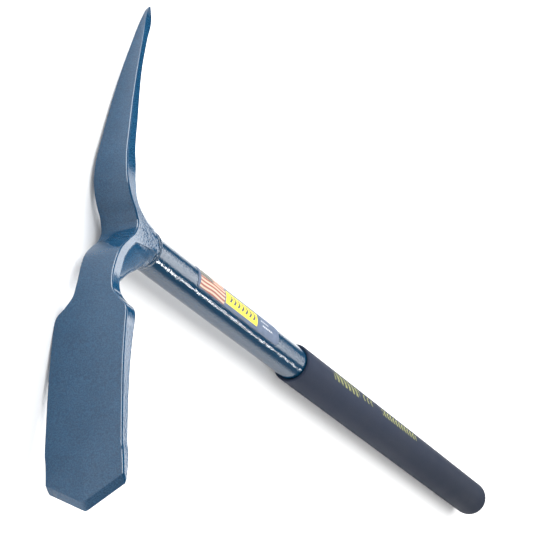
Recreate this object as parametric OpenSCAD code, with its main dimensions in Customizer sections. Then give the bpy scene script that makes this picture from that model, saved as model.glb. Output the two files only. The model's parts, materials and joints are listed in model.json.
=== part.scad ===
// Two-handed prospecting pick: a forged pick-and-hoe head on a tubular handle.
// The shapes are drawn in the tool's own frame, where the handle axis is X and
// the head is at +X, the hoe points to +Y and the pick to -Y. lay_down() then
// rests the whole tool on its side, the way it lies on a table.

/* [Handle] */
// Reach of the handle from the middle of the head to its closed end
handle_reach = 606; // [500:1:760]
// Outer diameter of the steel tube
tube_d = 25.4; // [22:0.1:27]
// Wall of the steel tube
tube_wall = 1.65; // [1.2:0.05:3]

/* [Grip] */
// Outer diameter of the grip
grip_d = 29.8; // [29.2:0.1:34]
// Distance from the middle of the head to the grip's open end
grip_start = 241; // [215:1:320]
// Radius of the lip at the grip's open end
lip_r = 1; // [0.4:0.1:1]

/* [Head] */
// Reach of the pick from the handle axis to its point
pick_reach = 183; // [176:1:190]
// Reach of the hoe from the handle axis to its cutting edge
hoe_reach = 191; // [184:1:200]
// Width of the hoe blade
hoe_w = 53.6; // [48:0.1:60]
// Outer diameter of the socket collar
collar_d = 30.4; // [29.8:0.1:32]
// Depth of the blind socket that takes the tube
socket_depth = 16; // [12:1:20]
// Width of the web between the collar and the arms
web_w = 25; // [20:0.5:27]

/* [Label] */
// Length of the label along the tube
label_l = 116; // [60:1:120]
// Angle that the label wraps round the tube
label_wrap = 78; // [40:1:150]
// Thickness of the label film
label_t = 0.15; // [0.1:0.05:0.4]

/* [Rest] */
// Roll that sets the edges of both arms on the table
rest_roll = 5.6; // [0:0.1:8]
// Pitch that sets the grip's closed end on the table
rest_pitch = 0.35; // [0:0.05:1]

/* [Hidden] */
$fn = 96;
// Play that keeps neighbouring solids from touching
gap = 0.05;
tube_r = tube_d / 2;
tube_in_r = tube_r - tube_wall;
grip_r = grip_d / 2;
collar_r = collar_d / 2;
// Mouth of the socket, and the floor of its bore, along X
collar_x = -26;
socket_x = collar_x + socket_depth;
// Length of the grip and the plug past the tube's butt end, and the plug's own sizes
butt_l = 14;
tube_end_x = butt_l - handle_reach;
plug_flange = 2;
plug_l = 14;
plug_cover_x = tube_end_x - plug_flange - 0.1;
bead_w = 6;
bead_rise = 1.9;
// Label's start along the tube and its lower edge round the tube
label_x = -80;
label_from = -30;
// Highest point of the hoe's outer face
crest_x = 28.5;
// Where the web's round corners meet the arms' inner faces
pick_corner_x = 2.2;
pick_corner_y = 36;
hoe_corner_x = 14.8;
hoe_corner_y = 61;
// Where the collar starts inside the head
collar_root_x = -1;
// Width taken off the hoe at the foot of its V edge, and where that foot is
foot_in = 1.2;
foot_y = 177.5;
// Length of the two bevels that make the hoe's edge and the pick's point
edge_bevel = 4;
point_bevel = 3.5;
// How far a cut runs past the face that it opens
over = 1;
// Half the thickness of the block that the front outline cuts the arms from
block_h = 40;
// Height of the handle axis over the table at the middle of the head
axis_h = 18.7;

// Side view of the arms, as [x, y]: outer line from the pick to the hoe.
outer_line = [
    [-15.6, -173], [-7, -145], [2, -112], [10.8, -70], [14.9, -44], [14.2, -31],
    [9, -18.5], [2.6, -9.5], [0.6, -2], [3.4, 5], [10, 12], [18.6, 22.5],
    [23.8, 37], [26.8, 62], [crest_x, 98], [27.4, 132], [24.2, 175]
];
// The inner line comes back from the hoe to the pick.
inner_line = [
    [17, 177], [19.4, 140], [18.6, 92], [15.4, 66], [13, 44], [9.6, 28],
    [0, 8], [-4, -8], [1, -32], [3.6, -50], [0.2, -80], [-7.4, -127],
    [-14.4, -150], [-22, -173]
];
// Front view, as [half width, y], from the pick's point to the hoe's corner.
side_line = [
    [0.5, -pick_reach], [2.8, -161], [6.7, -119], [9.2, -85], [11.5, -50],
    [13.4, -18], [15, -3], [14.4, 14], [13.4, 30], [13.3, 44], [15, 53.5],
    [20, 60.5], [hoe_w / 2 - 2, 66.5], [hoe_w / 2 - 0.6, 76], [hoe_w / 2, 105],
    [hoe_w / 2, 174]
];

// Points inside the arms that close the web's outline.
web_back = [[20, 50], [9, 14], [0, -2], [8, -34]];

// Direction of the curve at point i, weighted towards the nearer neighbour.
function heading(p, i) =
    i == 0 ? (p[1] - p[0]) / norm(p[1] - p[0]) :
    i == len(p) - 1 ? (p[i] - p[i - 1]) / norm(p[i] - p[i - 1]) :
    let (a = p[i] - p[i - 1], b = p[i + 1] - p[i], la = norm(a), lb = norm(b))
    (a * lb / la + b * la / lb) / (la + lb);

// Smooth cubic curve through the points, with steps segments between two.
function smooth(p, steps = 3) = concat(
    [for (i = [0 : len(p) - 2]) for (k = [0 : steps - 1])
        let (t = k / steps, d = norm(p[i + 1] - p[i]))
        p[i] * (2 * pow(t, 3) - 3 * t * t + 1)
        + p[i + 1] * (3 * t * t - 2 * pow(t, 3))
        + heading(p, i) * d * (pow(t, 3) - 2 * t * t + t)
        + heading(p, i + 1) * d * (pow(t, 3) - t * t)],
    [p[len(p) - 1]]);

// Points of a circular arc.
function arc(c, r, from, to, n = 8) =
    [for (k = [0 : n]) let (a = from + (to - from) * k / n) c + r * [cos(a), sin(a)]];

function flip_x(p) = [for (i = [len(p) - 1 : -1 : 0]) [-p[i][0], p[i][1]]];

// Rests the tool on the hoe's side edge, the pick's side edge and the grip.
module lay_down() {
    translate([(handle_reach - crest_x) / 2, (pick_reach - hoe_reach) / 2, axis_h])
        rotate([rest_roll, 0, 0])
            rotate([0, -rest_pitch, 0])
                children();
}

// Turns a [radius, -x] profile about the handle axis.
module turned() {
    rotate([0, -90, 0]) rotate_extrude() children();
}

module tube_solid(from_x, to_x, r) {
    translate([to_x, 0, 0]) rotate([0, 90, 0]) cylinder(r = r, h = from_x - to_x);
}

// Both arms in side view, with the bevels of the point and of the hoe's edge.
module side_profile() {
    polygon(concat(
        [[-21.6, -pick_reach], [-18.4, point_bevel - pick_reach]],
        smooth(outer_line),
        [[22.6, hoe_reach - edge_bevel], [18.7, hoe_reach]],
        smooth(inner_line)));
}

module front_outline() {
    edge = smooth(side_line);
    foot = [hoe_w / 2 - foot_in, foot_y];
    polygon(concat(edge, [foot, [0, hoe_reach], [-foot[0], foot_y]], flip_x(edge)));
}

// Web whose two round corners run from the arms' inner faces to the collar.
module web_profile() {
    pick_corner_r = pick_corner_y - collar_r;
    hoe_corner_r = hoe_corner_y - collar_r;
    polygon(concat(
        arc([pick_corner_x - pick_corner_r, -pick_corner_y], pick_corner_r, 0, 90),
        arc([hoe_corner_x - hoe_corner_r, hoe_corner_y], hoe_corner_r, -90, 0),
        web_back));
}

module arms() {
    intersection() {
        linear_extrude(2 * block_h, center = true) side_profile();
        translate([-block_h, 0, 0]) rotate([90, 0, 90]) linear_extrude(2 * block_h)
            rotate(-90) front_outline();
    }
}

module head() color([0.22, 0.36, 0.5]) lay_down() {
    difference() {
        union() {
            arms();
            linear_extrude(web_w, center = true) web_profile();
            tube_solid(collar_root_x, collar_x, collar_r);
        }
        tube_solid(socket_x, collar_x - over, tube_r + gap);
    }
}

module handle_tube() color([0.1, 0.24, 0.38]) lay_down() {
    difference() {
        tube_solid(socket_x - gap, tube_end_x, tube_r);
        tube_solid(socket_x + over, tube_end_x - over, tube_in_r);
    }
}

// Fillet weld between the collar's mouth and the tube.
module weld_bead() color([0.16, 0.3, 0.44]) lay_down() {
    turned() polygon([
        [tube_r + gap, gap - collar_x], [tube_r + bead_rise, gap - collar_x],
        [tube_r + bead_rise * 0.8, bead_w * 0.5 - collar_x],
        [tube_r + gap, bead_w - collar_x]]);
}

module label_film() color([0.36, 0.42, 0.52]) lay_down() {
    rotate([90 + label_from, 0, 0]) rotate([0, -90, 0])
        rotate_extrude(angle = label_wrap)
            translate([tube_r + gap, -label_x]) square([label_t, label_l]);
}

// Plastic plug that closes the tube's butt end inside the grip.
module end_plug() color([0.1, 0.1, 0.1]) lay_down() {
    turned() polygon([
        [0, -tube_end_x - plug_l], [tube_in_r - gap, -tube_end_x - plug_l],
        [tube_in_r - gap, gap - tube_end_x], [tube_r - gap, gap - tube_end_x],
        [tube_r - gap, plug_flange - tube_end_x], [0, plug_flange - tube_end_x]]);
}

// Grip with a rounded lip at its open end and a round closed end.
module grip_sleeve() color([0.2, 0.22, 0.28]) lay_down() {
    bore_r = tube_r + gap;
    turned() polygon(concat(
        arc([bore_r + lip_r, grip_start + lip_r], lip_r, 180, 270, 4),
        arc([grip_r - lip_r, grip_start + lip_r], lip_r, 270, 360, 4),
        arc([0, handle_reach - grip_r], grip_r, 0, 90, 16),
        [[0, -plug_cover_x], [bore_r, -plug_cover_x]]));
}

head();
handle_tube();
weld_bead();
label_film();
end_plug();
grip_sleeve();
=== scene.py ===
"""Two-handed prospecting pick, built in its own tool frame and laid on its side.

Tool frame, in millimetres: the handle's axis is X with the head at +X, the hoe points
to +Y and the pick to -Y, and Z is lateral.  The record's grip mount fixes that frame.
"""
import json
import math
import bpy
import numpy as np
from mathutils import Matrix, Vector


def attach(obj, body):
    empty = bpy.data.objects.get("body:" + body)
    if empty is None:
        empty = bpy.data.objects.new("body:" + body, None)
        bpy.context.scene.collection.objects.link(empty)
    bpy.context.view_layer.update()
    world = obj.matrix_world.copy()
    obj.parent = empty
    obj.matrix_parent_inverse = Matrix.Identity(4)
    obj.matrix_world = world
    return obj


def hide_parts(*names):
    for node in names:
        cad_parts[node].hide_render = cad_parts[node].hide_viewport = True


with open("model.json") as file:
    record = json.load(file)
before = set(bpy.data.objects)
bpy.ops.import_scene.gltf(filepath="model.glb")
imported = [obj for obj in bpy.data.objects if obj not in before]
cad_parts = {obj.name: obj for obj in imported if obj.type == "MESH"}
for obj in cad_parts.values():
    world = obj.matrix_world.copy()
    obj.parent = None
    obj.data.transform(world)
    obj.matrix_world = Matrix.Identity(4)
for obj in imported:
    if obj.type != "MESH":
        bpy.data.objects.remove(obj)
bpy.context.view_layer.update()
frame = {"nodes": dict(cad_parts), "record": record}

# ---------------------------------------------------------------- tool frame
MM = 0.001
ROLL = math.radians(5.6)
MOUNT = next(m for m in frame["record"]["mounts"] if m["name"] == "grip_holder")
# The grip mount's middle along the handle, from the middle of the head
MOUNT_X = -416.55
X_DIR = -np.array(MOUNT["axis"]) / np.linalg.norm(MOUNT["axis"])
Y_DIR = np.array([0.0, math.cos(ROLL), math.sin(ROLL)])
Z_DIR = np.cross(X_DIR, Y_DIR)
AXES = np.array([X_DIR, Y_DIR, Z_DIR])
ORIGIN = np.array(MOUNT["pos_m"]) - X_DIR * MOUNT_X * MM

# ---------------------------------------------------------------- sizes, mm
TUBE_R = 12.7
TUBE_WALL = 1.65
TUBE_FROM, TUBE_TO = -10.1, -592.0
GRIP_R = 14.9
GRIP_FROM, GRIP_TO = -241.0, -606.0
COLLAR_R = 15.1
COLLAR_MOUTH = -26.0
SOCKET_FLOOR = -10.0
# Play between two neighbouring pieces
GAP = 0.05
LABEL_FROM, LABEL_TO = -80.0, -196.0
LABEL_LOW, LABEL_HIGH = math.radians(-30.0), math.radians(48.0)
LABEL_THICK = 0.15
HOE_EDGE = 191.0
# Edge radii of the head: outer face, inner face, and inner face near the socket
EDGE_ROUND, INNER_ROUND, HUB_ROUND = 1.25, 1.8, 0.7
# How far the hoe's V edge leans back for each mm from its middle
V_SLOPE = 0.527
# Bevels of the hoe's edge: where the outer one starts and what it takes off, then the inner
BEVEL_FROM, BEVEL_DROP = 186.6, 3.7
BACK_BEVEL_FROM, BACK_BEVEL_RISE = 181, 1.35
# The hoe's last corner: where it starts and what it takes off the half width
CORNER_FROM, CORNER_CUT = 188, 1.3

# Side view of the head as (x, y), from the pick to the hoe, and its half width as (z, y)
OUTER_LINE = np.array([
    (-21.0, -183), (-18.4, -179.5), (-15.6, -173), (-7, -145), (2, -112), (10.8, -70),
    (14.9, -44), (14.2, -31), (9, -18.5), (2.6, -9.5), (0.6, -2), (3.4, 5), (10, 12),
    (18.6, 22.5), (23.8, 37), (26.8, 62), (28.5, 98), (27.4, 132), (24.2, 175), (22.7, 186.6)])
INNER_LINE = np.array([
    (-21.9, -183), (-22, -173), (-14.8, -150), (-8.0, -127), (-0.4, -80), (3.0, -50),
    (0.6, -32), (-4, -8), (0, 8), (9.6, 28), (13, 44), (15.4, 66), (18.6, 92), (19.4, 140),
    (17, 177), (16.9, 181)])
SIDE_LINE = np.array([
    (0.6, -183), (3.5, -161), (5.2, -143), (7.1, -119), (9.5, -85), (11.9, -50), (12.8, -37),
    (13.5, -18), (14.1, -3), (14.3, 14), (13.4, 30), (13.3, 44), (15, 53.5), (20, 60.5),
    (25.3, 66.3), (26.2, 69), (26.5, 72), (26.6, 80), (26.8, 105), (27.5, 174), (27.5, 191)])

# Where the side faces end near the collar, and the underside's middle line, both as (x, y)
CREASE_LINE = np.array([
    (-8.6, -120), (1.8, -60), (4.0, -50), (3.9, -32), (2.2, -22), (0.2, -16.3), (-4.7, -10.4),
    (-10.3, -7.5), (-14, -5.8), (-18, -3.6), (-22, -1.8), (-26, -0.2), (-26, 7.6), (-14, 8.8),
    (-5, 10), (1.2, 11.2), (5.1, 15.3), (8.9, 20), (12.5, 26.5), (14.3, 34.1), (15.9, 40.7),
    (16.8, 47.9), (17.2, 54), (18, 66), (20, 92)])
BELLY_LINE = np.array([
    (-26, 15), (-24, 15.8), (-20, 18), (-15, 22), (-9.5, 26), (-5, 29), (-1.5, 31.8), (1.5, 34.6),
    (5, 38), (9, 41.8), (11, 44), (13.3, 48), (15.4, 66), (18.6, 92)])
# Flare from the collar up to the pick: its low end in x, its inner radius and its bend
FLARE_X, FLARE_R, FLARE_BEND = -26.0, 15.2, 38.0


def to_world(points):
    """World metres of tool-frame millimetres: origin plus the point along the three axes."""
    return ORIGIN + (np.asarray(points) * MM) @ AXES


def smooth_line(points, at, steps=24):
    """Cubic through the points with headings weighted to the nearer neighbour, read at y = at."""
    p = np.asarray(points, float)
    step = np.diff(p, axis=0)
    length = np.linalg.norm(step, axis=1)[:, None]
    unit = step / length
    inner = (unit[:-1] * length[1:] + unit[1:] * length[:-1]) / (length[:-1] + length[1:])
    heading = np.vstack([unit[:1], inner, unit[-1:]])
    t = (np.arange(steps) / steps)[None, :, None]
    a, b = p[:-1, None], p[1:, None]
    ha, hb = heading[:-1, None] * length[:, None], heading[1:, None] * length[:, None]
    curve = (a * (2 * t ** 3 - 3 * t ** 2 + 1) + b * (3 * t ** 2 - 2 * t ** 3)
             + ha * (t ** 3 - 2 * t ** 2 + t) + hb * (t ** 3 - t ** 2))
    curve = np.vstack([curve.reshape(-1, 2), p[-1:]])
    return np.interp(at, curve[:, 1], curve[:, 0])


def smoothstep(low, high, x):
    """0 at low, 1 at high and 3t^2 - 2t^3 between them; low may be the larger of the two."""
    t = np.clip((x - low) / (high - low), 0, 1)
    return t * t * (3 - 2 * t)


def solid(name, points, faces):
    """A closed mesh from tool-frame points, turned so that its signed volume is positive."""
    world = to_world(points)
    tris = []
    for f in faces:
        f = np.asarray(f)
        for k in range(1, f.shape[1] - 1):
            tris.append(f[:, [0, k, k + 1]])
    tris = np.vstack(tris)
    a, b, c = world[tris[:, 0]], world[tris[:, 1]], world[tris[:, 2]]
    if np.einsum("ij,ij->i", a, np.cross(b, c)).sum() < 0:
        faces = [np.asarray(f)[:, ::-1] for f in faces]
    mesh = bpy.data.meshes.new(name)
    mesh.from_pydata(world.tolist(), [], [f for block in faces for f in np.asarray(block).tolist()])
    mesh.polygons.foreach_set("use_smooth", np.full(len(mesh.polygons), True))
    mesh.update()
    obj = bpy.data.objects.new(name, mesh)
    bpy.context.scene.collection.objects.link(obj)
    return obj


def ring_faces(rows, count, loop=False):
    """Quads between neighbouring rings of count points each, the last joined to the first if loop."""
    r = np.arange(rows if loop else rows - 1)[:, None]
    c = np.arange(count)[None]
    a, b = r * count + c, r * count + (c + 1) % count
    n = rows * count
    return np.stack([a, b, (b + count) % n, (a + count) % n], -1).reshape(-1, 4)


def turned(name, profile, count=160, ripple=None):
    """A profile of (x, radius) turned about the handle's axis; a radius of 0 closes in a pole.

    The point at angle a is (x, -r sin a, r cos a), so a is 0 on top and grows towards the
    pick.  ripple(x, r, a) gives what is added to the radius at each point."""
    profile = np.asarray(profile, float)
    pole_a, pole_b = profile[0, 1] == 0, profile[-1, 1] == 0
    body = profile[int(pole_a):len(profile) - int(pole_b)]
    angle = np.arange(count) * 2 * np.pi / count
    x, r, a = np.broadcast_arrays(body[:, :1], body[:, 1:], angle[None])
    if ripple is not None:
        r = r + ripple(x, r, a)
    points = np.stack([x, -r * np.sin(a), r * np.cos(a)], -1).reshape(-1, 3)
    faces = [ring_faces(len(body), count, loop=not (pole_a or pole_b))]
    c = np.arange(count)
    for pole, row, tip in ((pole_a, 0, profile[0]), (pole_b, len(body) - 1, profile[-1])):
        if pole:
            points = np.vstack([points, [[tip[0], 0, 0]]])
            ring = row * count + c
            nxt = row * count + (c + 1) % count
            fan = np.stack([nxt, ring, np.full(count, len(points) - 1)], -1)
            faces.append(fan if row == 0 else fan[:, ::-1])
    return solid(name, points, faces)


def arc(cx, cr, radius, start, end, count):
    """Points (x, r) of an arc about (cx, cr), angles in degrees from +X towards +r."""
    a = np.radians(np.linspace(start, end, count))
    return np.stack([cx + radius * np.cos(a), cr + radius * np.sin(a)], -1)


# ---------------------------------------------------------------- head
def head_stations():
    """Stations along Y, closer together at the tip, the hub, the shoulders and the bevel."""
    parts = [
        np.linspace(-183, -179, 9), np.linspace(-179, -170, 8)[1:], np.linspace(-170, -60, 44)[1:],
        np.linspace(-60, -28, 26)[1:], np.linspace(-28, 44, 97)[1:], np.linspace(44, 80, 41)[1:],
        np.linspace(80, 150, 26)[1:], np.linspace(150, 182, 33)[1:],
        [183.2, 184.3, 185.2, 185.9, 186.3, 186.6, 186.9, 187.4, 188.1, 188.9, 189.6, 190.2,
         190.6, 190.85, 191]]
    return np.concatenate(parts)


def head_arms():
    """Pick, hub and hoe in one skin.

    Each station along Y has a section between the outer and the inner face line, with
    quarter-circle corners, as wide as the front outline.  Near the collar the side faces end
    in a crease line, and the underside goes down from it by depth x (1 - |z / half|^power).
    On the hoe's side that depth runs to the belly line, read at the distance hypot(y, z)
    from the handle's axis near the collar, and the power is 5, rising to 15 at the collar.
    On the pick's side it runs to the flare, a quarter circle of radius FLARE_BEND turned
    about the handle's axis, with a power of 14.  The outer face has a shallow hollow,
    0.4 x exp(-((y + 5) / width)^2), that opens towards +Z.  At the collar's mouth the width
    is held to the collar's circle.  Towards the hoe's edge the stations lean back by
    V_SLOPE x (sqrt(z^2 + 0.7^2) - 0.7), which rounds the V at its middle."""
    y = head_stations()[:, None]
    outer = smooth_line(OUTER_LINE, y[:, 0])[:, None]
    inner = smooth_line(INNER_LINE, y[:, 0])[:, None]
    half = smooth_line(SIDE_LINE, y[:, 0])[:, None]
    outer = outer - np.clip((y - BEVEL_FROM) / (HOE_EDGE - BEVEL_FROM), 0, 1) * BEVEL_DROP
    inner = inner + np.clip((y - BACK_BEVEL_FROM) / (HOE_EDGE - BACK_BEVEL_FROM), 0, 1) * BACK_BEVEL_RISE
    half = half - CORNER_CUT * np.clip((y - CORNER_FROM) / (HOE_EDGE - CORNER_FROM), 0, 1) ** 2
    thick = outer - inner
    hub = smoothstep(60, 46, y) * smoothstep(-52, -34, y)
    crease = np.interp(y, CREASE_LINE[:, 1], CREASE_LINE[:, 0])
    most = 0.42 * np.minimum(thick, half)
    ro = np.minimum(EDGE_ROUND, most)
    ri = np.minimum(INNER_ROUND, most) * (1 - hub) + HUB_ROUND * hub
    low_edge = inner * (1 - hub) + crease * hub
    turn = np.radians(np.linspace(0, 90, 9))[None]
    side = np.array([0.0, 0.3, 0.6, 0.85, 0.95])[None]
    flat = np.concatenate([[0.004, 0.015], np.linspace(0.04, 0.96, 47), [0.985, 0.996]])[None]
    middle = 0.5 * (outer + low_edge)

    def chain(face, radius, sign):
        """Half a section, from one side's middle over its face to the other side's middle."""
        x_side = middle + (face - sign * radius - middle) * side
        x_corner = face - sign * radius + sign * radius * np.sin(turn)
        x = np.concatenate([x_side, x_corner, face + 0 * flat, x_corner[:, ::-1], x_side[:, ::-1]], 1)
        z_corner = -half + radius - radius * np.cos(turn)
        z_flat = (-half + radius) * (1 - 2 * flat)
        z = np.concatenate([-half + 0 * side, z_corner, z_flat, -z_corner[:, ::-1], half + 0 * side], 1)
        return x, z

    top_x, top_z = chain(outer, ro, 1)
    low_x, low_z = chain(low_edge, ri, -1)
    count = top_x.shape[1]
    yy = np.repeat(y, count, 1)
    lens = smoothstep(-12, 13, top_z)
    dish = np.exp(-((yy + 5.2 - 0.6 * lens) / (0.8 + 1.9 * lens)) ** 2) * lens * 0.4
    top_x = top_x - dish * smoothstep(outer - 3, outer - 0.5, top_x)
    belly_at = yy + (np.hypot(yy, low_z) - yy) * smoothstep(34, 12, yy)
    belly = np.interp(belly_at, BELLY_LINE[:, 1], BELLY_LINE[:, 0])
    share = np.abs(low_z / (half - ri * 0.5))
    hoe_run = np.clip(1 - share ** (5 + 10 * smoothstep(16, 10, yy)), 0, 1)
    hoe_side = low_x - hub * np.maximum(crease - belly, 0) * hoe_run
    away = np.clip(FLARE_R + FLARE_BEND - np.hypot(yy, low_z), 0, FLARE_BEND)
    flare = FLARE_X + np.sqrt(FLARE_BEND ** 2 - away ** 2)
    pick_run = np.clip(1 - share ** 14, 0, 1)
    pick_side = low_x - np.maximum(low_x - flare, 0) * hub * pick_run
    low_x = np.where(yy > 0, hoe_side, pick_side)
    ring_x = np.concatenate([top_x, low_x[:, -2:0:-1]], 1)
    ring_z = np.concatenate([top_z, low_z[:, -2:0:-1]], 1)
    ring_y = np.repeat(y, ring_x.shape[1], 1)
    circle = np.sqrt(np.maximum((COLLAR_R - GAP) ** 2 - ring_y ** 2, 0))
    near = smoothstep(-19, -25, ring_x) * smoothstep(14.5, 11, ring_y) * smoothstep(-9, -4, ring_y)
    limit = np.abs(ring_z) * (1 - near) + np.minimum(circle, np.abs(ring_z)) * near
    ring_z = np.sign(ring_z) * limit
    lean = smoothstep(150, 178, ring_y) * V_SLOPE
    ring_y = ring_y - lean * (np.sqrt(ring_z ** 2 + 0.7 ** 2) - 0.7)
    points = np.stack([ring_x, ring_y, ring_z], -1)
    rows, around = ring_x.shape
    low_index = np.concatenate([[0], np.arange(around - 1, count - 1, -1), [count - 1]])
    top_index = np.arange(count)
    ladder = np.stack([top_index[:-1], low_index[:-1], low_index[1:], top_index[1:]], -1)
    ends = np.array([[0, low_index[1], top_index[1]], [count - 1, top_index[-2], low_index[-2]]])
    shift = (rows - 1) * around
    faces = [ring_faces(rows, around), ladder[1:-1], ladder[1:-1, ::-1] + shift,
             ends, ends[:, ::-1] + shift]
    return solid("head_arms", points.reshape(-1, 3), faces)


def head_collar():
    """Socket collar: a turned sleeve with a rounded mouth that the tube enters.

    Its skin is 0.75 x cos(a)^2 lower, so it is flatter on top and underneath, and a product
    of two sines adds a hammered unevenness of 0.09."""
    bore = TUBE_R + GAP
    mouth = arc(COLLAR_MOUTH + 0.6, COLLAR_R - 0.8, 0.6, 90, 180, 7)
    xs = np.linspace(-3.5, COLLAR_MOUTH + 2, 26)
    profile = np.vstack([
        [(-2.4, 0), (-2.4, 8), (-2.4, 14.2), (-2.8, COLLAR_R - 0.1)],
        np.stack([xs, np.full_like(xs, COLLAR_R)], -1) - [0, 0.2], mouth,
        [(COLLAR_MOUTH, bore + 0.3), (COLLAR_MOUTH + 0.3, bore), (SOCKET_FLOOR, bore), (SOCKET_FLOOR, 0)]])

    def ripple(x, r, a):
        hammered = np.sin(a * 11 + x * 0.55 + 0.7) * np.sin(a * 6 - x * 0.8) * 0.09
        flattened = -0.75 * np.cos(a) ** 2
        return np.where(r > COLLAR_R - 1.0, hammered + flattened, 0.0)

    return turned("head_collar", profile, count=288, ripple=ripple)


# ---------------------------------------------------------------- handle
def tube_shell():
    """Steel tube: a turned profile of the outer skin and the bore, with a ring every 8 mm."""
    inside = TUBE_R - TUBE_WALL
    out = np.linspace(TUBE_FROM, TUBE_TO, 74)
    profile = np.vstack([
        np.stack([out, np.full_like(out, TUBE_R)], -1),
        np.stack([out[::-1], np.full_like(out, inside)], -1)])
    return turned("tube_shell", profile)


def bead():
    """Hand weld round the collar's mouth: a turned fillet, where |sin(13 a)|^0.7 makes the
    overlapping ripples and two slow sines make the uneven width."""
    base = TUBE_R + 0.06
    xs = np.array([-26.1, -26.1, -26.4, -27.2, -28.1, -29.0, -29.9, -30.7, -31.4, -31.8, -31.95, -31.95])
    rs = np.array([base, 14.0, 14.25, 14.3, 14.25, 14.15, 13.9, 13.45, 13.1, 12.9, 12.8, base])
    profile = np.stack([xs, rs], -1)

    def ripple(x, r, a):
        lift = np.clip((r - base) / 1.2, 0, 1)
        wave = np.abs(np.sin(a * 13 + (x + 29) * 0.3)) ** 0.7
        slow = np.sin(a * 3 + 1.1) * 0.12 + np.sin(a * 5 + 0.4) * 0.08
        return lift * (0.2 * wave - 0.15 + slow)

    return turned("bead_ring", profile, count=288, ripple=ripple)


def label_sheet():
    """Printed film: a sheet on the tube at angle LABEL_LOW + across / radius, with its own UV
    of length and width in mm.  Near an end the sheet is narrower by
    corner - sqrt(corner^2 - distance^2), which rounds its four corners."""
    low_r = TUBE_R + GAP
    high_r = low_r + LABEL_THICK
    length = LABEL_FROM - LABEL_TO
    width = (LABEL_HIGH - LABEL_LOW) * high_r
    corner = 3.0
    u = np.concatenate([
        corner * (1 - np.cos(np.linspace(0, np.pi / 2, 10))),
        np.linspace(corner, length - corner, 50)[1:-1],
        length - corner * (1 - np.cos(np.linspace(np.pi / 2, 0, 10)))])[:, None]
    to_end = np.clip(np.maximum(corner - u, u - (length - corner)), 0, corner)
    pull = corner - np.sqrt(np.maximum(corner ** 2 - to_end ** 2, 0))
    v = np.linspace(0, 1, 33)[None]
    across = pull + (width - 2 * pull) * v
    angle = LABEL_LOW + across / high_r
    along = LABEL_FROM - u + 0 * v
    layers = []
    for radius in (high_r, low_r + 0.01):
        layer = np.stack([along, -radius * np.sin(angle), radius * np.cos(angle)], -1)
        layers.append(layer.reshape(-1, 3))
    rows, cols = along.shape
    grid = np.arange(rows * cols).reshape(rows, cols)
    quads = np.stack([grid[:-1, :-1], grid[1:, :-1], grid[1:, 1:], grid[:-1, 1:]], -1).reshape(-1, 4)
    rim = np.concatenate([grid[0, :-1], grid[:-1, -1], grid[-1, :0:-1], grid[:0:-1, 0]])
    nxt = np.roll(rim, -1)
    n = rows * cols
    walls = np.stack([rim, nxt, nxt + n, rim + n], -1)
    obj = solid("label_sheet", np.vstack(layers), [quads, quads[:, ::-1] + n, walls])
    uv = np.stack([u + 0 * v, across], -1).reshape(-1, 2)
    uv = np.vstack([uv, uv])
    uv_layer = obj.data.uv_layers.new(name="film")
    loops = np.empty(len(obj.data.loops), dtype=np.int32)
    obj.data.loops.foreach_get("vertex_index", loops)
    uv_layer.data.foreach_set("uv", uv[loops].ravel())
    return obj


def grip():
    """Dipped grip: a turned profile of the bore, a rounded lip, the straight outside and a
    quarter circle that closes the end."""
    bore = TUBE_R + GAP
    lip = 1.0
    dome = arc(GRIP_TO + GRIP_R, 0, GRIP_R, 90, 180, 26)
    straight = np.linspace(GRIP_FROM - lip, GRIP_TO + GRIP_R, 46)[1:-1]
    profile = np.vstack([
        [(-594.1, 0), (-594.1, bore)],
        np.stack([np.linspace(-590, GRIP_FROM - 3, 30), np.full(30, bore)], -1),
        arc(GRIP_FROM - lip, bore + lip, lip, -90, 0, 6),
        arc(GRIP_FROM - lip, GRIP_R - lip, lip, 0, 90, 8),
        np.stack([straight, np.full_like(straight, GRIP_R)], -1),
        dome[:-1], [(GRIP_TO, 0)]])
    return turned("grip", profile)


# ---------------------------------------------------------------- node helpers
def put(tree, kind, inputs=(), **attrs):
    """A node of that kind with its settings, and with each named input set or linked."""
    n = tree.nodes.new(kind)
    for key, value in attrs.items():
        setattr(n, key, value)
    for key, value in dict(inputs).items():
        socket = n.inputs[key]
        if isinstance(value, bpy.types.NodeSocket):
            tree.links.new(value, socket)
        elif isinstance(value, tuple) and len(value) == 3 and socket.type == "RGBA":
            socket.default_value = (*value, 1)
        else:
            socket.default_value = value
    return n


def math_of(tree, operation, *values, clamp=False):
    """Result of a Math node on those values."""
    return put(tree, "ShaderNodeMath", dict(enumerate(values)),
               operation=operation, use_clamp=clamp).outputs[0]


def ramp(tree, value, low, high, out_low=0.0, out_high=1.0, kind="SMOOTHSTEP"):
    """Value mapped from low..high to out_low..out_high, smooth at both ends unless LINEAR."""
    limits = {"Value": value, "From Min": low, "From Max": high, "To Min": out_low, "To Max": out_high}
    return put(tree, "ShaderNodeMapRange", limits, interpolation_type=kind).outputs["Result"]


def mix(tree, factor, a, b):
    """Color a where factor is 0 and b where it is 1."""
    n = put(tree, "ShaderNodeMix", data_type="RGBA")
    for name, form, value in (("Factor", "VALUE", factor), ("A", "RGBA", a), ("B", "RGBA", b)):
        socket = next(s for s in n.inputs if s.name == name and s.type == form)
        if isinstance(value, bpy.types.NodeSocket):
            tree.links.new(value, socket)
        elif name == "Factor":
            socket.default_value = value
        else:
            socket.default_value = (*value, 1)
    return next(s for s in n.outputs if s.type == "RGBA")


def noise(tree, vector, scale, detail=2.0, rough=0.5):
    """Noise from 0 to 1 with that many waves per mm of the tool frame."""
    return put(tree, "ShaderNodeTexNoise", {"Vector": vector, "Scale": scale, "Detail": detail,
                                            "Roughness": rough}).outputs["Fac"]


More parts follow.
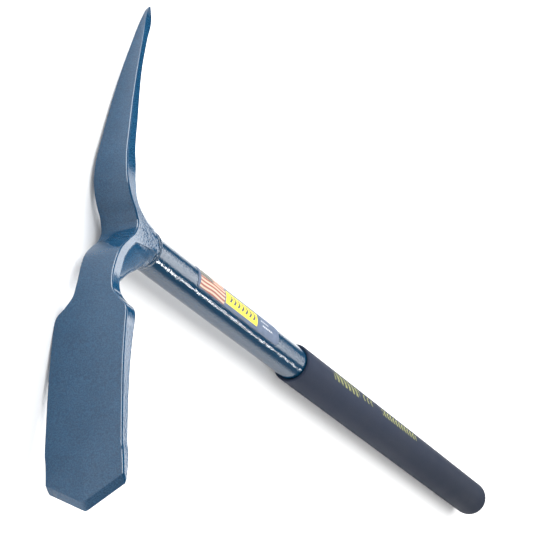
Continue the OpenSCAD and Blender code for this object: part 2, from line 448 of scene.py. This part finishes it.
def group(name, inputs, outputs):
    """An empty node group with those sockets; returns it and its input and output nodes."""
    tree = bpy.data.node_groups.new(name, "ShaderNodeTree")
    for kind, sockets in (("INPUT", inputs), ("OUTPUT", outputs)):
        for socket, form in sockets:
            tree.interface.new_socket(name=socket, in_out=kind, socket_type=form)
    return tree, tree.nodes.new("NodeGroupInput"), tree.nodes.new("NodeGroupOutput")


FLOAT, VECTOR, COLOR = "NodeSocketFloat", "NodeSocketVector", "NodeSocketColor"


def tool_frame_group():
    """Tool-frame place in mm, length from the head along the handle, and angle round it in
    degrees, 0 at the top of the lying tool and growing towards the pick."""
    tree, _, out = group("tool_frame", (), (("Vector", VECTOR), ("Length", FLOAT), ("Angle", FLOAT)))
    place = put(tree, "ShaderNodeTexCoord").outputs["Object"]
    turn = Matrix(AXES.T.tolist()).to_euler()
    vector = put(tree, "ShaderNodeMapping", {
        "Vector": place, "Location": tuple(ORIGIN), "Rotation": tuple(turn), "Scale": (MM, MM, MM)},
        vector_type="TEXTURE").outputs[0]
    xyz = put(tree, "ShaderNodeSeparateXYZ", {0: vector})
    length = math_of(tree, "MULTIPLY", xyz.outputs[0], -1.0)
    angle = math_of(tree, "ARCTAN2", math_of(tree, "MULTIPLY", xyz.outputs[1], -1.0), xyz.outputs[2])
    tree.links.new(vector, out.inputs["Vector"])
    tree.links.new(length, out.inputs["Length"])
    tree.links.new(math_of(tree, "DEGREES", angle), out.inputs["Angle"])
    return tree


def paint_group():
    """Powder coat: a deep blue with fine pale speckle, and the wavy skin of orange peel.

    Peel is the height of that skin and Wave its waves per mm.  Rough is the mean roughness,
    which the speckle's noise varies by 30%."""
    tree, inp, out = group(
        "powder_coat",
        (("Vector", VECTOR), ("Deep", COLOR), ("Pale", COLOR), ("Speckle", FLOAT),
         ("Peel", FLOAT), ("Wave", FLOAT), ("Rough", FLOAT)),
        (("Color", COLOR), ("Roughness", FLOAT), ("Normal", VECTOR)))
    v = inp.outputs["Vector"]
    fine = noise(tree, v, 1.15, 3.0, 0.6)
    broad = noise(tree, v, 0.045, 2.0)
    grain = math_of(tree, "MULTIPLY", ramp(tree, fine, 0.36, 0.66), inp.outputs["Speckle"])
    tint = math_of(tree, "ADD", grain, ramp(tree, broad, 0.35, 0.65, -0.08, 0.08))
    tint = math_of(tree, "ADD", tint, 0.0, clamp=True)
    tree.links.new(mix(tree, tint, inp.outputs["Deep"], inp.outputs["Pale"]), out.inputs["Color"])
    rough = math_of(tree, "MULTIPLY", inp.outputs["Rough"], ramp(tree, fine, 0.3, 0.7, 0.7, 1.3))
    tree.links.new(rough, out.inputs["Roughness"])
    peel = noise(tree, v, inp.outputs["Wave"], 1.5, 0.45)
    bump = put(tree, "ShaderNodeBump", {"Height": peel, "Distance": MM, "Strength": inp.outputs["Peel"]})
    tree.links.new(bump.outputs[0], out.inputs["Normal"])
    return tree


def material(name):
    """A new material with nodes: returns it, its tree, its Principled shader and the tool frame."""
    m = bpy.data.materials.new(name)
    m.use_nodes = True
    tree = m.node_tree
    shader = tree.nodes["Principled BSDF"]
    tool = put(tree, "ShaderNodeGroup", node_tree=TOOL_FRAME)
    return m, tree, shader, tool.outputs


def set_shader(shader, **values):
    """Sets sockets by name, with _ for a space."""
    for key, value in values.items():
        shader.inputs[key.replace("_", " ")].default_value = value


# Peel that a worn coat has on top of its own round the socket
HUB_PEEL = 0.14


def paint(name, deep, pale, speckle, peel, wave, coarse, worn=False):
    """Blue powder coat of roughness coarse; worn adds a grey rub on the pick's point and on one
    corner of the hoe's edge, and more peel round the socket."""
    m, tree, shader, tool = material(name)
    if worn:
        _, y, z = put(tree, "ShaderNodeSeparateXYZ", {0: tool["Vector"]}).outputs
        near_axis = ramp(tree, math_of(tree, "ABSOLUTE", y), 30.0, 20.0)
        hub = math_of(tree, "MULTIPLY", ramp(tree, tool["Length"], 3.0, 14.0), near_axis)
        peel = math_of(tree, "ADD", math_of(tree, "MULTIPLY", hub, HUB_PEEL), peel)
    coat = put(tree, "ShaderNodeGroup", {
        "Vector": tool["Vector"], "Deep": deep, "Pale": pale, "Speckle": speckle,
        "Peel": peel, "Wave": wave, "Rough": coarse}, node_tree=POWDER_COAT)
    color = coat.outputs["Color"]
    rough = coat.outputs["Roughness"]
    if worn:
        tip = ramp(tree, y, -170.0, -182.0)
        patch = noise(tree, tool["Vector"], 0.35, 3.0, 0.6)
        corner = math_of(tree, "MULTIPLY", ramp(tree, y, 174.0, 182.0), ramp(tree, z, -8.0, -24.0))
        rub = math_of(tree, "MAXIMUM", tip, corner)
        rub = math_of(tree, "MULTIPLY", rub, ramp(tree, patch, 0.4, 0.62))
        rub = math_of(tree, "MULTIPLY", rub, 0.55)
        color = mix(tree, rub, color, (0.09, 0.1, 0.12))
        rough = math_of(tree, "ADD", rough, math_of(tree, "MULTIPLY", rub, 0.25))
    tree.links.new(color, shader.inputs["Base Color"])
    tree.links.new(rough, shader.inputs["Roughness"])
    tree.links.new(coat.outputs["Normal"], shader.inputs["Normal"])
    set_shader(shader, IOR=1.5)
    return m


def soft_box(tree, u, v, u0, u1, v0, v1, edge=0.25):
    """1 inside the rectangle u0..u1, v0..v1 and 0 outside, over an edge of that width."""
    parts = [ramp(tree, u, u0 - edge, u0 + edge), ramp(tree, u, u1 + edge, u1 - edge),
             ramp(tree, v, v0 - edge, v0 + edge), ramp(tree, v, v1 + edge, v1 - edge)]
    out = parts[0]
    for p in parts[1:]:
        out = math_of(tree, "MULTIPLY", out, p)
    return out


def repeat_band(tree, value, period, share, edge=0.08):
    """1 on the first share of every period along value, and 0 on the rest."""
    t = math_of(tree, "FRACT", math_of(tree, "DIVIDE", value, period))
    return math_of(tree, "MULTIPLY", ramp(tree, t, 0.0, edge), ramp(tree, t, share + edge, share))


# Printed areas of the film as (from, to) along it and (from, to) across it, mm
STRIPED_PANEL, SLASHED_BLOCK = (3.2, 36.6, 0.7, 17.2), (3.2, 20.5, 9.6, 17.2)
YELLOW_BAND, CHEVRON_ROW = (38.0, 83.5, 2.9, 12.4), (41.0, 80.5, 5.4, 11.4)
SHORT_DASHES, LONG_DASHES = (89.0, 100.5, 9.0, 10.1), (91.5, 106.0, 5.9, 7.0)
CHEVRON_MIDDLE = 8.6


def film_material():
    """Printed film: grey-blue satin ground, a striped panel with a slashed block, a yellow band
    with plain dark chevrons and two short rows of white dashes."""
    m, tree, shader, tool = material("printed_film")
    uv = put(tree, "ShaderNodeUVMap", uv_map="film").outputs[0]
    xyz = put(tree, "ShaderNodeSeparateXYZ", {0: uv})
    u, v = xyz.outputs[0], xyz.outputs[1]
    wobble = math_of(tree, "MULTIPLY", math_of(tree, "SINE", math_of(tree, "MULTIPLY", u, 0.22)), 0.35)
    vw = math_of(tree, "ADD", v, wobble)
    mottle = ramp(tree, noise(tree, tool["Vector"], 0.12, 2.0), 0.3, 0.7)
    ground = mix(tree, mottle, (0.055, 0.085, 0.145), (0.075, 0.11, 0.18))
    stripes = repeat_band(tree, vw, 2.7, 0.5, 0.1)
    panel = soft_box(tree, u, v, *STRIPED_PANEL, 0.2)
    striped = mix(tree, stripes, (0.47, 0.38, 0.28), (0.26, 0.065, 0.05))
    slash = repeat_band(tree, math_of(tree, "ADD", u, math_of(tree, "MULTIPLY", v, 0.55)), 3.4, 0.45, 0.12)
    block = mix(tree, slash, (0.03, 0.033, 0.033), (0.22, 0.21, 0.18))
    striped = mix(tree, soft_box(tree, u, v, *SLASHED_BLOCK, 0.3), striped, block)
    color = mix(tree, panel, ground, striped)
    band = soft_box(tree, u, v, *YELLOW_BAND, 0.2)
    lean = math_of(tree, "ABSOLUTE", math_of(tree, "SUBTRACT", v, CHEVRON_MIDDLE))
    bent_u = math_of(tree, "ADD", u, math_of(tree, "MULTIPLY", lean, 0.75))
    chevron = repeat_band(tree, bent_u, 5.6, 0.42, 0.1)
    inner = soft_box(tree, u, v, *CHEVRON_ROW, 0.3)
    color = mix(tree, band, color, (0.7, 0.56, 0.02))
    color = mix(tree, math_of(tree, "MULTIPLY", chevron, inner), color, (0.03, 0.05, 0.09))
    rows = math_of(tree, "MAXIMUM", soft_box(tree, u, v, *SHORT_DASHES, 0.25),
                   soft_box(tree, u, v, *LONG_DASHES, 0.25))
    dashes = math_of(tree, "MULTIPLY", rows, repeat_band(tree, u, 2.4, 0.55, 0.12))
    color = mix(tree, dashes, color, (0.55, 0.57, 0.58))
    tree.links.new(color, shader.inputs["Base Color"])
    rough = ramp(tree, noise(tree, tool["Vector"], 0.6, 2.0), 0.3, 0.7, 0.42, 0.5)
    tree.links.new(rough, shader.inputs["Roughness"])
    set_shader(shader, IOR=1.45)
    return m


# Printed areas of the grip as (from, to) from the head along it and (from, to) round it, mm
SLANTED_BARS, SPARSE_ZIGZAG = (285.0, 330.0, 0.2, 8.0), (334.0, 354.0, 1.6, 7.6)
DENSE_ZIGZAG = (373.0, 440.0, 1.4, 7.6)
ZIGZAG_MIDDLE = 4.2


def vinyl_material():
    """Matt soft vinyl with a fine grain, painted shade that darkens it towards the closed end, and a
    worn olive-yellow print of slanted bars and zigzags."""
    m, tree, shader, tool = material("soft_vinyl")
    length, angle = tool["Length"], tool["Angle"]
    arc_mm = math_of(tree, "MULTIPLY", angle, math.radians(1) * GRIP_R)
    fine = noise(tree, tool["Vector"], 1.6, 3.0, 0.6)
    broad = noise(tree, tool["Vector"], 0.03, 2.0)
    base = mix(tree, ramp(tree, fine, 0.3, 0.7), (0.011, 0.017, 0.034), (0.017, 0.024, 0.044))
    base = mix(tree, ramp(tree, broad, 0.35, 0.65, 0.0, 0.35), base, (0.021, 0.029, 0.05))
    worn = ramp(tree, noise(tree, tool["Vector"], 0.9, 4.0, 0.7), 0.34, 0.56)
    slant = math_of(tree, "ADD", length, math_of(tree, "MULTIPLY", arc_mm, 0.35))
    bend = math_of(tree, "ABSOLUTE", math_of(tree, "SUBTRACT", arc_mm, ZIGZAG_MIDDLE))
    zig = math_of(tree, "ADD", length, math_of(tree, "MULTIPLY", bend, -0.8))
    bars = math_of(tree, "MULTIPLY", soft_box(tree, length, arc_mm, *SLANTED_BARS, 0.4),
                   repeat_band(tree, slant, 6.6, 0.5, 0.12))
    sparse = math_of(tree, "MULTIPLY", soft_box(tree, length, arc_mm, *SPARSE_ZIGZAG, 0.4),
                     repeat_band(tree, zig, 7.0, 0.3, 0.1))
    dense = math_of(tree, "MULTIPLY", soft_box(tree, length, arc_mm, *DENSE_ZIGZAG, 0.4),
                    repeat_band(tree, zig, 5.6, 0.48, 0.12))
    ink = math_of(tree, "MAXIMUM", math_of(tree, "MAXIMUM", bars, sparse), dense)
    ink = math_of(tree, "MULTIPLY", ink, math_of(tree, "MULTIPLY", worn, 0.8))
    # Painted shade: from 300 mm to 600 mm along the handle the base is mixed up to 60% towards near black,
    # darkening the grip towards its closed end
    base = mix(tree, ramp(tree, length, 300.0, 600.0, 0.0, 0.6), base, (0.004, 0.008, 0.018))
    tree.links.new(mix(tree, ink, base, (0.34, 0.35, 0.12)), shader.inputs["Base Color"])
    tree.links.new(ramp(tree, broad, 0.3, 0.7, 0.56, 0.66), shader.inputs["Roughness"])
    bump = put(tree, "ShaderNodeBump", {"Height": fine, "Distance": MM, "Strength": 0.03})
    tree.links.new(bump.outputs[0], shader.inputs["Normal"])
    set_shader(shader, IOR=1.22)
    return m


def plug_material():
    """Moulded black plastic with a faint flow mottling."""
    m, tree, shader, tool = material("moulded_plastic")
    flow = noise(tree, tool["Vector"], 0.25, 3.0)
    tree.links.new(mix(tree, flow, (0.012, 0.012, 0.013), (0.03, 0.03, 0.032)), shader.inputs["Base Color"])
    tree.links.new(ramp(tree, flow, 0.3, 0.7, 0.4, 0.6), shader.inputs["Roughness"])
    return m


# ---------------------------------------------------------------- studio
def aim(obj, place, forward, level_roll=0.0):
    """Places an object that looks along forward, rolled from level by level_roll."""
    f = Vector(forward).normalized()
    level_right = f.cross(Vector((0, 0, 1))).normalized()
    level_up = level_right.cross(f)
    right = level_right * math.cos(level_roll) + level_up * math.sin(level_roll)
    up = right.cross(f)
    m = Matrix((right, up, -f)).transposed().to_4x4()
    m.translation = Vector(place)
    obj.matrix_world = m


def camera():
    """Camera 1.33 m from a point beside the handle, 28 degrees up and 26 round from +X towards
    +Y, rolled by 84 degrees so that the handle runs down across the view."""
    target, distance = Vector((0.10165, -0.05864, 0.0187)), 1.3289
    up, round_, roll = (math.radians(a) for a in (28.12, 25.93, 83.52))
    away = Vector((math.cos(up) * math.cos(round_), math.cos(up) * math.sin(round_), math.sin(up)))
    data = bpy.data.cameras.new("camera")
    data.lens, data.sensor_width, data.sensor_fit = 122.93, 36.0, "HORIZONTAL"
    data.clip_start, data.clip_end = 0.05, 50
    obj = bpy.data.objects.new("camera", data)
    bpy.context.scene.collection.objects.link(obj)
    aim(obj, target + away * distance, -away, roll)
    bpy.context.scene.camera = obj


def floor():
    """Plain pale table, far larger than the tool."""
    size = 14.0
    mesh = bpy.data.meshes.new("floor")
    corners = [(-size, -size, 0), (size, -size, 0), (size, size, 0), (-size, size, 0)]
    mesh.from_pydata(corners, [], [(0, 1, 2, 3)])
    obj = bpy.data.objects.new("floor", mesh)
    bpy.context.scene.collection.objects.link(obj)
    m = bpy.data.materials.new("pale_table")
    m.use_nodes = True
    set_shader(m.node_tree.nodes["Principled BSDF"], Base_Color=(0.9, 0.9, 0.9, 1), Roughness=1.0,
               Specular_IOR_Level=0.0)
    mesh.materials.append(m)


# Light of the studio by direction, then the power of its two area lamps and of its dome
FRONT_LIGHT, EDGE_LIGHT, PANEL_LIGHT, STRIP_LIGHT = 1.2, 13.0, 6.0, 60.0
KEY_POWER, TOP_POWER, DOME_LIGHT = 51.0, 34.0, 0.84
# The broad panel's far edge: its u near the middle, then how u shifts between each pair of v
PANEL_FAR = -1.57
PANEL_SHIFTS = ((-0.4, -0.8, -0.16), (-0.8, -1.12, -0.065), (-1.12, -1.6, -0.36))


def studio():
    """Soft studio round the table, as light by ray direction (x, y, z), with u = x / z and
    v = y / z on a ceiling: low and pale towards +X, dim elsewhere, with a broad panel between
    a bent far edge and 0.75 beyond it in u, and a thin bright strip along one v.  Gloss alone
    meets a low lamp that lights the head's side faces.  Everything but gloss meets a dome and
    two area lamps.  Direct view of the studio is plain white."""
    world = bpy.data.worlds.new("studio")
    world.use_nodes = True
    bpy.context.scene.world = world
    tree = world.node_tree
    direction = put(tree, "ShaderNodeTexCoord").outputs["Generated"]
    xyz = put(tree, "ShaderNodeSeparateXYZ", {0: direction})
    x, y, z = xyz.outputs
    z_up = math_of(tree, "MAXIMUM", z, 0.02)
    u, v = math_of(tree, "DIVIDE", x, z_up), math_of(tree, "DIVIDE", y, z_up)
    side = ramp(tree, y, 0.7, -0.8, 0.5, 1.6)
    low = ramp(tree, z, 0.4, 0.15)
    front = math_of(tree, "MULTIPLY", ramp(tree, x, -0.1, 0.5, 0.0, FRONT_LIGHT),
                    math_of(tree, "MULTIPLY", side, low))
    rays = put(tree, "ShaderNodeLightPath").outputs
    edge_lamp = math_of(tree, "MULTIPLY", ramp(tree, x, 0.2, 0.45),
                        soft_box(tree, z, y, 0.02, 0.56, -0.95, 0.1, 0.06))
    edge_lamp = math_of(tree, "MULTIPLY", edge_lamp, rays["Is Glossy Ray"])
    front = math_of(tree, "ADD", front, math_of(tree, "MULTIPLY", edge_lamp, EDGE_LIGHT))
    back = math_of(tree, "ADD", ramp(tree, y, -0.2, 0.75, 0.05, 0.25),
                   ramp(tree, z, 0.16, 0.0, 0.0, 0.6))
    back = math_of(tree, "ADD", back, ramp(tree, x, -0.84, -0.93, 0.0, 0.55))
    base = math_of(tree, "ADD", front, back)
    far = PANEL_FAR
    for near_v, far_v, shift in PANEL_SHIFTS:
        far = math_of(tree, "ADD", far, ramp(tree, v, near_v, far_v, 0.0, shift, kind="LINEAR"))
    depth = math_of(tree, "SUBTRACT", u, far)
    panel = math_of(tree, "MULTIPLY", ramp(tree, depth, -0.025, 0.025), ramp(tree, depth, 0.75, 0.6))
    for share in (ramp(tree, v, 0.3, 0.16), ramp(tree, v, -1.56, -1.46),
                  ramp(tree, v, -1.12, -1.45, 1.0, 0.45)):
        panel = math_of(tree, "MULTIPLY", panel, share)
    strip = soft_box(tree, u, v, -3.0, 0.0, 0.81, 1.01, 0.03)
    for share in (ramp(tree, u, -1.78, -1.65), ramp(tree, u, -1.0, -1.2)):
        strip = math_of(tree, "MULTIPLY", strip, share)
    light = math_of(tree, "ADD", base, math_of(tree, "MULTIPLY", panel, PANEL_LIGHT))
    light = math_of(tree, "ADD", light, math_of(tree, "MULTIPLY", strip, STRIP_LIGHT))
    dome = ramp(tree, z, -0.05, 0.02, 0.0, DOME_LIGHT)
    dome = math_of(tree, "MULTIPLY", dome, ramp(tree, y, 0.9, -0.7, 0.6, 1.25))
    dome = math_of(tree, "MULTIPLY", dome, math_of(tree, "SUBTRACT", 1.0, rays["Is Glossy Ray"]))
    light = math_of(tree, "ADD", light, dome)
    shown = put(tree, "ShaderNodeMix", {0: rays["Is Camera Ray"], 2: light, 3: 1.0}, data_type="FLOAT")
    background = tree.nodes["Background"]
    tree.links.new(shown.outputs[0], background.inputs["Strength"])
    background.inputs["Color"].default_value = (1, 1, 1, 1)
    for name, size, power, toward in (("key_panel", 1.4, KEY_POWER, (0.25, -0.72, 0.65)),
                                      ("top_panel", 2.2, TOP_POWER, (-0.6, -0.35, 1.0))):
        data = bpy.data.lights.new(name, "AREA")
        data.shape, data.size, data.size_y, data.energy = "RECTANGLE", size, size, power
        lamp = bpy.data.objects.new(name, data)
        bpy.context.scene.collection.objects.link(lamp)
        lamp.visible_glossy = False
        way = Vector(toward).normalized()
        aim(lamp, way * 2.4, -way)
    bpy.context.scene.view_settings.view_transform = "Standard"


# ---------------------------------------------------------------- build
camera()
floor()
studio()
TOOL_FRAME = tool_frame_group()
POWDER_COAT = paint_group()
# Paints: deep and pale colour, then speckle, peel, waves per mm and roughness
DEEP_HEAD, PALE_HEAD = (0.0015, 0.031, 0.076), (0.013, 0.067, 0.139)
DEEP_TUBE, PALE_TUBE = (0.0008, 0.027, 0.064), (0.004, 0.042, 0.088)
head_paint = paint("forged_head_paint", DEEP_HEAD, PALE_HEAD, 0.8, 0.03, 0.75, 0.06, worn=True)
collar_paint = paint("collar_paint", DEEP_HEAD, PALE_HEAD, 0.4, 0.14, 0.55, 0.12)
tube_paint = paint("tube_paint", DEEP_TUBE, PALE_TUBE, 0.3, 0.16, 0.85, 0.04)
weld_paint = paint("weld_paint", DEEP_TUBE, PALE_TUBE, 0.3, 0.2, 0.6, 0.15)
PIECES = (
    (head_arms, ("head",), "forged_head_paint", head_paint),
    (head_collar, ("head",), "forged_head_paint", collar_paint),
    (tube_shell, ("handle_tube",), "tube_paint", tube_paint),
    (bead, ("weld_bead",), "weld_paint", weld_paint),
    (label_sheet, ("label_film",), "label_film", film_material()),
    (grip, ("grip_sleeve",), "grip_vinyl", vinyl_material()))
for make, nodes, slot, finish in PIECES:
    piece = make()
    piece.data.materials.append(finish)
    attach(piece, "root")
    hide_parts(*nodes)
plug = frame["nodes"]["end_plug"]
plug.data.materials.clear()
plug.data.materials.append(plug_material())
